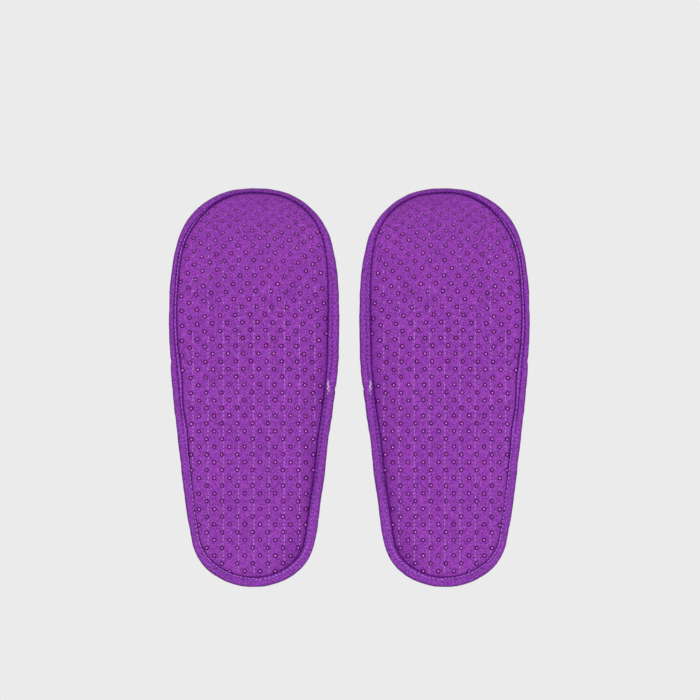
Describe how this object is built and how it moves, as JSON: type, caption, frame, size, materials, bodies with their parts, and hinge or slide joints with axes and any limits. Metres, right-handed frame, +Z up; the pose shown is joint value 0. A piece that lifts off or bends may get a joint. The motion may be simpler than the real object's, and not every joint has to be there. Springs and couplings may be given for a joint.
{
  "type": "spa slippers",
  "caption": "Pair of closed-toe spa slippers with quilted dotted soles, bound edges and padded uppers; the heels bend up.",
  "frame": {"origin": "on the floor, midway between the two slippers and midway along their length", "axes": "+Z up from the floor, +Y towards the heels, -X towards the wearer's right slipper; the toes point to -Y"},
  "size_m": [0.254, 0.28, 0.0625],
  "materials": {
    "sole_fabric": "brushed, heathered",
    "upper_fabric": "brushed velour",
    "lining_fabric": "brushed tricot",
    "insole_fabric": "short terry pile",
    "binding_tape": "smooth folded tape",
    "thread": "polyester thread, slight sheen",
    "wadding": "loose fibre",
    "sole_foam": "closed-cell foam",
    "grip_rubber": "soft, glossy dots"
  },
  "bodies": {
    "right_front": {"right_outsole_front": "sole_fabric", "right_midsole_foam_front": "sole_foam", "right_insole_padding_front": "wadding", "right_insole_cover_front": "insole_fabric", "right_edge_binding_front": "binding_tape", "right_binding_thread_front": "thread", "right_grip_dots_front": "grip_rubber", "right_quilt_thread_front": "thread", "right_vamp_fabric": "upper_fabric", "right_vamp_wadding": "wadding", "right_vamp_lining": "lining_fabric", "right_throat_tape": "binding_tape", "right_throat_thread": "thread", "right_thread_tail": "thread"},
    "right_heel": {"right_outsole_heel": "sole_fabric", "right_midsole_foam_heel": "sole_foam", "right_insole_padding_heel": "wadding", "right_insole_cover_heel": "insole_fabric", "right_edge_binding_heel": "binding_tape", "right_binding_thread_heel": "thread", "right_grip_dots_heel": "grip_rubber", "right_quilt_thread_heel": "thread"},
    "left_front": {"left_outsole_front": "sole_fabric", "left_midsole_foam_front": "sole_foam", "left_insole_padding_front": "wadding", "left_insole_cover_front": "insole_fabric", "left_edge_binding_front": "binding_tape", "left_binding_thread_front": "thread", "left_grip_dots_front": "grip_rubber", "left_quilt_thread_front": "thread", "left_vamp_fabric": "upper_fabric", "left_vamp_wadding": "wadding", "left_vamp_lining": "lining_fabric", "left_throat_tape": "binding_tape", "left_throat_thread": "thread", "left_thread_tail": "thread"},
    "left_heel": {"left_outsole_heel": "sole_fabric", "left_midsole_foam_heel": "sole_foam", "left_insole_padding_heel": "wadding", "left_insole_cover_heel": "insole_fabric", "left_edge_binding_heel": "binding_tape", "left_binding_thread_heel": "thread", "left_grip_dots_heel": "grip_rubber", "left_quilt_thread_heel": "thread"}
  },
  "joints": [
    {"name": "right_sole_flex", "type": "hinge", "parent": "right_front", "child": "right_heel", "pos_m": [-0.067, 0.014, 0.011], "axis": [1, 0, 0], "range_deg": [0, 70], "stiffness_Nm_per_rad": 0.06},
    {"name": "left_slipper_lift", "type": "slide", "parent": "right_front", "child": "left_front", "axis": [0, 0, 1], "range_m": [0, 0.15]},
    {"name": "left_sole_flex", "type": "hinge", "parent": "left_front", "child": "left_heel", "pos_m": [0.067, 0.014, 0.011], "axis": [1, 0, 0], "range_deg": [0, 70], "stiffness_Nm_per_rad": 0.06}
  ]
}
